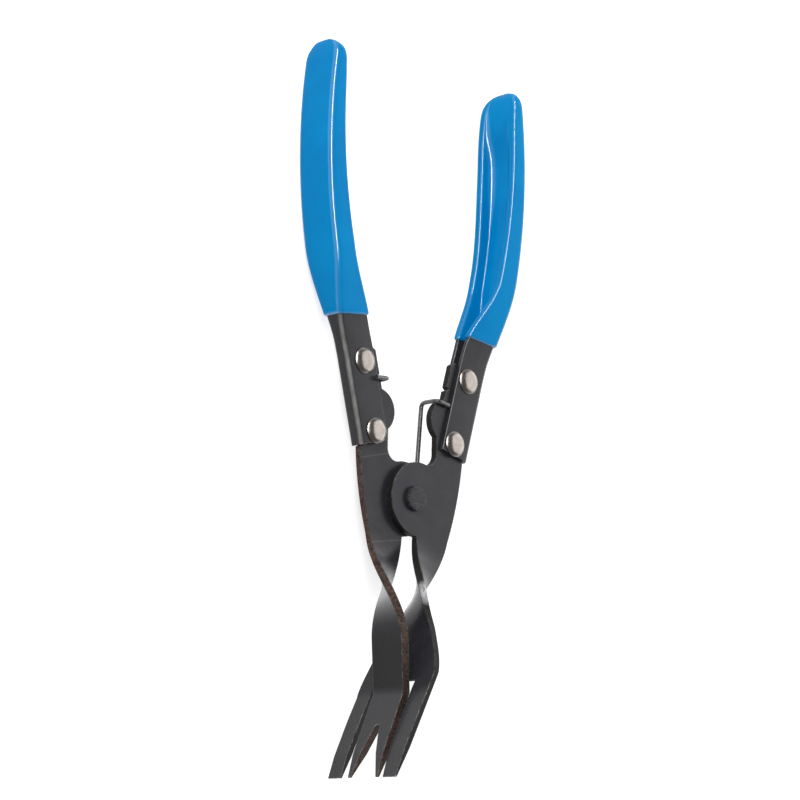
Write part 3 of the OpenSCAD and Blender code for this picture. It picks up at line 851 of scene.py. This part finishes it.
def depth_at(s):
    slim = mix(GRIP_DEPTH, END_DEPTH, max(s - SLIM_TO, 0.0) / (SPINE_LEN - SLIM_TO))
    return mix(FOOT_DEPTH, slim, smooth((s - SLIM_FROM) / (SLIM_TO - SLIM_FROM)))


def half_at(s):
    return mix(FOOT_HALF, GRIP_HALF, smooth((s - GROW_FROM) / (GROW_TO - GROW_FROM)))


def u_section(back, depths, half, wall, floor, fold, root, lip):
    """Closed U as depth against height, rounded all over; depths are those of the front and back lips."""
    quarter = math.pi / 2
    sides = []
    for depth in depths:
        inner = min(lip, (depth - floor) * LIP_OF_DEPTH)
        bend = math.acos(max(1 - (depth - inner - floor) / root, 0.0))
        sides.append((depth, inner, bend, half - wall - root * math.sin(bend)))
    (top, top_in, top_bend, top_y), (low, low_in, low_bend, low_y) = sides
    corners = [
        (top - lip, half - lip, lip, quarter, 0.0, LIP_ARC),
        (top - top_in, half - wall + top_in, top_in, 0.0, -quarter, LIP_ARC),
        (floor + root, top_y, root, 2 * quarter - top_bend, 2 * quarter, ROOT_ARC),
        (floor + root, -low_y, root, 2 * quarter, 2 * quarter + low_bend, ROOT_ARC),
        (low - low_in, wall - half - low_in, low_in, quarter, 0.0, LIP_ARC),
        (low - lip, lip - half, lip, 0.0, -quarter, LIP_ARC),
        (back + fold, fold - half, fold, 3 * quarter, 2 * quarter, FOLD_ARC),
        (back + fold, half - fold, fold, 2 * quarter, quarter, FOLD_ARC),
    ]
    points = []
    for x, y, radius, start, end, steps in corners:
        points += arc(Vector((x, y)), radius, start, end, steps)
    return points


def on_spine(s, q, side):
    """Point of a section, depth and height, at a length along the handle's line."""
    p = spine(s)
    a = heading(s)
    x = p.x - q.x * math.cos(a)
    return Vector((side * x, p.y + q.x * math.sin(a), side * PLATE_MID + q.y))


def metal_section(s):
    depth = depth_at(s)
    return u_section(0.0, (depth, depth), half_at(s), SHEET_T, SHEET_T, FOLD_R, METAL_ROOT, METAL_LIP)


def vinyl_section(s):
    """Outside of the vinyl, with the groove pooled and then filled towards the end."""
    e = end_share(s, END_LEN + GRIP_T, END_ROUND)
    back = -GRIP_T * e
    half = (half_at(s) + GRIP_T) * e
    full = depth_at(s) + GRIP_T
    deeper = REAR_EXTRA * smooth((s - SPINE_LEN + REAR_FROM) / REAR_RISE)
    rear = mix(REAR_TIP, full + deeper, end_share(s, REAR_LEN))
    front = mix(rear, mix(TIP_DEPTH, full, end_share(s, LIP_LEN)), end_share(s, MEET_LEN))
    wall = min(SHEET_T + 2 * GRIP_T, half * WALL_OF_HALF)
    lip = min(VINYL_LIP, wall * LIP_OF_WALL)
    fill = smooth((s - SPINE_LEN + FILL_FROM) / FILL_LEN)
    floor = min(mix(SHEET_T + POOL_T, front - FILL_SHORT, fill), rear - FILL_SHORT)
    fold = min(FOLD_R + GRIP_T * FOLD_OF_DIP, half * FOLD_OF_HALF, (rear - lip - back) * ROUND_OF_ROOM)
    root = mix(VINYL_ROOT, WIDE_ROOT, smooth((s - SPINE_LEN + WIDE_FROM) / WIDE_LEN))
    root = min(root, (half - wall) * ROUND_OF_ROOM)
    return u_section(back, (front, rear), half, wall, floor, fold, root, lip)


def dip_lean(s):
    """How far a ring leans with the dip level, near the vinyl's lower edge."""
    rise = smooth((s - STRAIGHT_LEN) / (GRIP_FROM - STRAIGHT_LEN))
    return DIP_SLOPE * min(rise, 1 - smooth((s - GRIP_FROM) / DIP_LEN))


def ring(s, section_at, side):
    """A section's points on the handle's line."""
    lean = dip_lean(s)
    square = section_at(s)
    if lean == 0:
        extra = END_EXTRA[side] * smooth(1 - (SPINE_LEN - s) / EXTRA_LEN)
        return [on_spine(s + extra, q, side) for q in square]
    places = [s - lean * q.x for q in square]
    return [on_spine(at, section_at(at)[i], side) for i, at in enumerate(places)]


CHANNEL_STEP = 1.0
COVERED = 6.0
LOWER_LIP_LEN = 0.9
LOWER_LIP_STEPS = 6
GRIP_STEPS = 110
END_STEPS = 40


def outward(points, side):
    """A ring of points in the order that turns its faces outward."""
    return points if side == LEFT else points[::-1]


def handle(name, side, materials):
    """Steel channel, as far as it shows and a little way into the grip."""
    count = round((GRIP_FROM + COVERED) / CHANNEL_STEP)
    stations = [i * CHANNEL_STEP for i in range(count + 1)]
    rings = [[on_spine(s, q, side) for q in metal_section(s)] for s in stations]
    points, faces = skin([outward(r, side) for r in rings])
    return piece(name, points, faces, materials, name, bevel=0.2, sharp=60.0)


def grip(name, side, materials):
    """Dipped skin, from its rounded lower lip to its closed end."""
    rings = []
    for i in range(LOWER_LIP_STEPS):
        a = math.pi / 2 * i / LOWER_LIP_STEPS

        def lip_section(s, share=math.sin(a)):
            return [mix(m, v, share) for m, v in zip(metal_section(s), vinyl_section(s))]

        rings.append(ring(GRIP_FROM + LOWER_LIP_LEN * (1 - math.cos(a)), lip_section, side))
    from_s = GRIP_FROM + LOWER_LIP_LEN
    to_s = SPINE_LEN + GRIP_T - LIP_LEN
    for i in range(GRIP_STEPS):
        rings.append(ring(mix(from_s, to_s, i / GRIP_STEPS), vinyl_section, side))
    for i in range(END_STEPS + 1):
        rings.append(ring(to_s + LIP_LEN * math.sin(BLUNT * i / END_STEPS), vinyl_section, side))
    points, faces = skin([outward(r, side) for r in rings])
    return piece(name, points, faces, materials, name, sharp=75.0)


# Rivets

RIM_R = 0.35
RIM_UNDER = 0.1
DOME_POWER = 4.0
DOME_STEPS = 12


def dome_profile():
    """Half of a rivet head: a low dome over a small rounded rim, from the axis outward."""
    edge = RIVET_HEAD_D / 2
    height = RIVET_HEAD_H
    points = []
    for i in range(DOME_STEPS + 1):
        r = edge * math.sin(math.pi / 2 * i / DOME_STEPS)
        points.append((r, RIM_R + (height - RIM_R) * (1 - (r / edge) ** DOME_POWER)))
    return points + [(edge - RIM_UNDER, 0.0)]


def handle_rivet(name, side, v, materials):
    """Domed rivet through both flanges and the tang."""
    head = dome_profile()
    top = [(r, FOOT_HALF + z) for r, z in head]
    bottom = [(r, -FOOT_HALF - z) for r, z in reversed(head)]
    profile = top + [(RIVET_D / 2, FOOT_HALF), (RIVET_D / 2, -FOOT_HALF)] + bottom
    points, faces = lathe(profile[::-1])
    centre = tang_pt(RIVET_IN, v)
    place = Vector((side * centre.x, centre.y, side * PLATE_MID))
    return piece(name, [p + place for p in points], faces, materials, name, sharp=50.0)


PIVOT_SOFT = 0.3
PEEN_DISH = 0.12
PEEN_R_SHARE = 0.4


def pivot_rivet(materials, coil_low):
    """Pivot with a peened front head, a shoulder inside the coil and a wide back head."""
    front = PLATE_MID + PLATE_T / 2 + PIVOT_AXIAL
    back = -front
    head = coil_low - WIRE_R - WIRE_PLAY
    soft = PIVOT_SOFT
    face = front + PIVOT_HEAD_H
    low = head - PIVOT_BACK_T
    head_r = PIVOT_HEAD_D / 2
    back_r = PIVOT_BACK_D / 2
    peened = [(0, face - PEEN_DISH), (head_r * PEEN_R_SHARE, face - PEEN_DISH / 2),
              (head_r - 2 * soft, face), (head_r - soft, face - PEEN_DISH / 2),
              (head_r, face - soft), (head_r, front)]
    shank = [(PIVOT_D / 2, front), (PIVOT_D / 2, back),
             (PIVOT_SHOULDER_D / 2, back), (PIVOT_SHOULDER_D / 2, head)]
    wide = [(back_r - soft, head), (back_r, head - soft), (back_r, low + soft), (back_r - soft, low),
            (back_r - 4 * soft, low), (0, low)]
    profile = peened + shank + wide
    points, faces = lathe(profile[::-1])
    return piece("pivot_rivet", points, faces, materials, "pivot_rivet", sharp=50.0)


# Return spring

COIL_TOP = -PLATE_MID - PLATE_T / 2 - WIRE_PLAY - WIRE_R
COIL_STEPS = 64
TURN_R = 1.8
TURN_STEPS = 8
WIRE_SIDES = 16
LEFT_HOOK_DROP = 0.3
RIGHT_HOOK_DROP = 0.6


def hook_pt(at):
    """Where a hook passes its plate's edge, beside the thumb stop or the tang."""
    rise = at - BUMP_AT
    reach = BUMP_R + WIRE_R + WIRE_PLAY
    beside = BUMP_W + math.sqrt(reach ** 2 - rise ** 2) if abs(rise) < reach else 0.0
    return tang_pt(max(beside, TANG_W + WIRE_R + WIRE_PLAY), at)


def touch_angle(p):
    """Angle at which a leg from a hook touches the coil on its own side."""
    lean = math.acos(COIL_R / p.length)
    return math.atan2(p.y, p.x) + (-lean if p.x > 0 else lean)


def corner(a, b, c):
    """Rounded corner between two straight runs."""
    p = b + (a - b).normalized() * TURN_R
    q = b + (c - b).normalized() * TURN_R
    shares = [i / TURN_STEPS for i in range(TURN_STEPS + 1)]
    return [p * (1 - t) ** 2 + b * 2 * t * (1 - t) + q * t ** 2 for t in shares]


def hook_end(high, outward_x, drop):
    """End of a hook, from its corner outward across its half."""
    run = Vector((outward_x * math.cos(LEAN), -math.sin(LEAN) * drop, 0))
    return high + run.normalized() * HOOK_END


def spring_route():
    """Middle of the wire from the left hook by the coil to the right hook, and the coil's low end."""
    right = hook_pt(HOOK_RIGHT_AT)
    left = hook_pt(HOOK_LEFT_AT)
    left = Vector((-left.x, left.y))
    start = touch_angle(left) % math.tau
    end = touch_angle(right) + 2 * math.tau
    drop = COIL_PITCH * (end - start) / math.tau
    coil = []
    for i in range(COIL_STEPS + 1):
        a = mix(start, end, i / COIL_STEPS)
        z = COIL_TOP - drop * (1 - i / COIL_STEPS)
        coil.append(Vector((COIL_R * math.cos(a), COIL_R * math.sin(a), z)))
    left_high = Vector((*left, -PLATE_MID + FOOT_HALF + WIRE_PLAY + WIRE_R))
    left_low = Vector((*left, COIL_TOP - drop))
    right_high = Vector((*right, PLATE_MID + PLATE_T / 2 + WIRE_PLAY + WIRE_R))
    right_low = Vector((*right, COIL_TOP))
    left_tip = hook_end(left_high, LEFT, LEFT_HOOK_DROP)
    right_tip = hook_end(right_high, RIGHT, RIGHT_HOOK_DROP)
    route = [left_tip] + corner(left_tip, left_high, left_low) + corner(left_high, left_low, coil[0])
    route += coil
    route += corner(coil[-1], right_low, right_high) + corner(right_low, right_high, right_tip)
    route.append(right_tip)
    return route, COIL_TOP - drop


def return_spring(route, materials):
    """Wire along the route, bent round the pivot from one half's hook to the other's."""
    normal = Vector((0, 0, 1))
    rings = []
    for i, p in enumerate(route):
        along = (route[min(i + 1, len(route) - 1)] - route[max(i - 1, 0)]).normalized()
        normal = (normal - along * normal.dot(along)).normalized()
        side = along.cross(normal)
        angles = [math.tau * k / WIRE_SIDES for k in range(WIRE_SIDES)]
        rings.append([p + WIRE_R * (normal * math.cos(a) + side * math.sin(a)) for a in angles])
    points, faces = skin(rings)
    made = piece("return_spring_wire", points, faces, materials, "return_spring",
                 sharp=60.0)
    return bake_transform(made)


# The object: each line on the left plate is a point on it and its slope; the first is a scribed mark, the
# second a painted highlight along the crease where the twist begins
PLATE_SCRIBE_AND_CREASE = ((-15.3, 12.7, 0.24), (-9.5, -14.8, 0.16))
WORN_AT = 31.0

steel = black_steel("black_steel")
marked_steel = black_steel("marked_steel", scribes_and_creases=PLATE_SCRIBE_AND_CREASE, blade_painted_shade=True)
channel_steel = black_steel("channel_steel", folds_rubbed_and_sheen=True)
vinyl = blue_vinyl()
nickel = bright_steel()
WORN_SPOT = PIVOT + WIDE.point(WORN_AT, 1.0, 1) * MM
narrow_jaw = jaw("left_jaw", NARROW, vee_edges, JAW_LEN - VEE_DEPTH, VEE_R, 0,
                 [marked_steel, sheared_steel("rusty_edge", SHEAR_BROWN)])
# The wide jaw's edges carry painted shade in their dark grey
wide_jaw = jaw("right_jaw", WIDE, slot_edges, SLOT_TOP, 0.0, MIDDLE_COLUMNS,
               [steel, sheared_steel("dark_edge", SHEAR_SHADED_GREY, WORN_SPOT)])
riders = {LEFT: [narrow_jaw], RIGHT: [wide_jaw]}
for label, side in SIDES.items():
    riders[side].append(handle(label + "_handle", side, [channel_steel]))
    riders[side].append(grip(label + "_grip", side, [vinyl]))
    for level, v in (("upper", RIVET_HIGH_AT), ("lower", RIVET_LOW_AT)):
        riders[side].append(handle_rivet(f"{label}_{level}_rivet", side, v, [nickel]))
spring_line, coil_low = spring_route()
riders[RIGHT].append(pivot_rivet([peened_steel()], coil_low))
return_spring(spring_line, [spring_steel()])
for label, side in SIDES.items():
    for made in riders[side]:
        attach(made, label + "_half")

# Floor, tilted so that the lower tine and a grip touch it

FLOOR_SIDE = 6.0
FLOOR_TILT = math.radians(2.1)
FLOOR_TOUCH = Vector((0, -0.119, -0.0008))
FLOOR_COLOUR = (0.70, 0.70, 0.70, 1.0)
FLOOR_ROUGH = 0.9
FLOOR_GLOW = 0.65
WHITE = (1.0, 1.0, 1.0, 1.0)


def floor():
    """Pale floor that the camera and reflections see as white, with the object's shadow on it."""
    mesh = bpy.data.meshes.new("floor")
    h = FLOOR_SIDE / 2
    mesh.from_pydata([(-h, -h, 0), (h, -h, 0), (h, h, 0), (-h, h, 0)], [], [(0, 1, 2, 3)])
    material, tree, shader = new_material("floor")
    shader.inputs["Base Color"].default_value = FLOOR_COLOUR
    shader.inputs["Roughness"].default_value = FLOOR_ROUGH
    shader.inputs["Specular IOR Level"].default_value = 0.0
    path = node(tree, "LightPath")
    seen = math_node(tree, "MAXIMUM", path.outputs["Is Camera Ray"], path.outputs["Is Glossy Ray"])
    seen = math_node(tree, "MAXIMUM", seen, path.outputs["Is Transmission Ray"])
    tree.links.new(math_node(tree, "MULTIPLY", seen, FLOOR_GLOW), shader.inputs["Emission Strength"])
    shader.inputs["Emission Color"].default_value = WHITE
    mesh.materials.append(material)
    made = bpy.data.objects.new("floor", mesh)
    made.rotation_euler = (FLOOR_TILT, 0, 0)
    made.location = FLOOR_TOUCH
    bpy.context.scene.collection.objects.link(made)


floor()

# Light: a wide panel to the right, a strip by the camera, and a studio that is pale low down and dim above

LOOK_AT = Vector((0, 0, 0.015))


def softbox(name, towards, distance, across, along, watts):
    """Rectangular lamp, its second side along the tool's length."""
    data = bpy.data.lights.new(name, "AREA")
    data.shape = "RECTANGLE"
    data.size = across
    data.size_y = along
    data.energy = watts
    made = bpy.data.objects.new(name, data)
    away = Vector(towards).normalized()
    right = Vector((0, 1, 0)).cross(away).normalized()
    turn = Matrix((right, away.cross(right), away)).transposed()
    made.matrix_world = Matrix.Translation(LOOK_AT + away * distance) @ turn.to_4x4()
    made.visible_camera = False
    bpy.context.scene.collection.objects.link(made)


softbox("right_panel", towards=(0.77, 0.18, 0.61), distance=1.1, across=1.25, along=1.4, watts=9.4)
softbox("camera_strip", towards=(-0.63, 0.38, 0.67), distance=1.4, across=0.16, along=1.78, watts=16.0)

HORIZON = 1.0
CEILING = 0.16
DIMS_FROM = 0.1
DIMS_TO = 0.55


def studio():
    """White surroundings, bright at the horizon and dim overhead."""
    world = bpy.data.worlds.new("studio")
    bpy.context.scene.world = world
    world.use_nodes = True
    tree = world.node_tree
    level = ramp(tree, parts_of(tree, "Generated")["Z"], DIMS_FROM, DIMS_TO, HORIZON, CEILING)
    tree.links.new(level, tree.nodes["Background"].inputs["Strength"])
    tree.nodes["Background"].inputs["Color"].default_value = WHITE


studio()

# Camera, from the photograph

CAMERA_AT = Vector((-584.1, -131.6, 588.2))
CAMERA_UP = Vector((-0.15221, 0.98057, 0.12377))
CAMERA_BACK = Vector((-0.68810, -0.19503, 0.69893))
LENS = 114.84
SENSOR = 36.0
CLIP_START = 0.05


def camera():
    data = bpy.data.cameras.new("camera")
    data.lens = LENS
    data.sensor_width = SENSOR
    data.clip_start = CLIP_START
    made = bpy.data.objects.new("camera", data)
    back = CAMERA_BACK.normalized()
    right = CAMERA_UP.cross(back).normalized()
    up = back.cross(right)
    turn = Matrix((right, up, back)).transposed()
    made.matrix_world = Matrix.Translation(PIVOT + CAMERA_AT * MM) @ turn.to_4x4()
    bpy.context.scene.collection.objects.link(made)
    bpy.context.scene.camera = made


camera()
bpy.context.scene.view_settings.view_transform = "Standard"
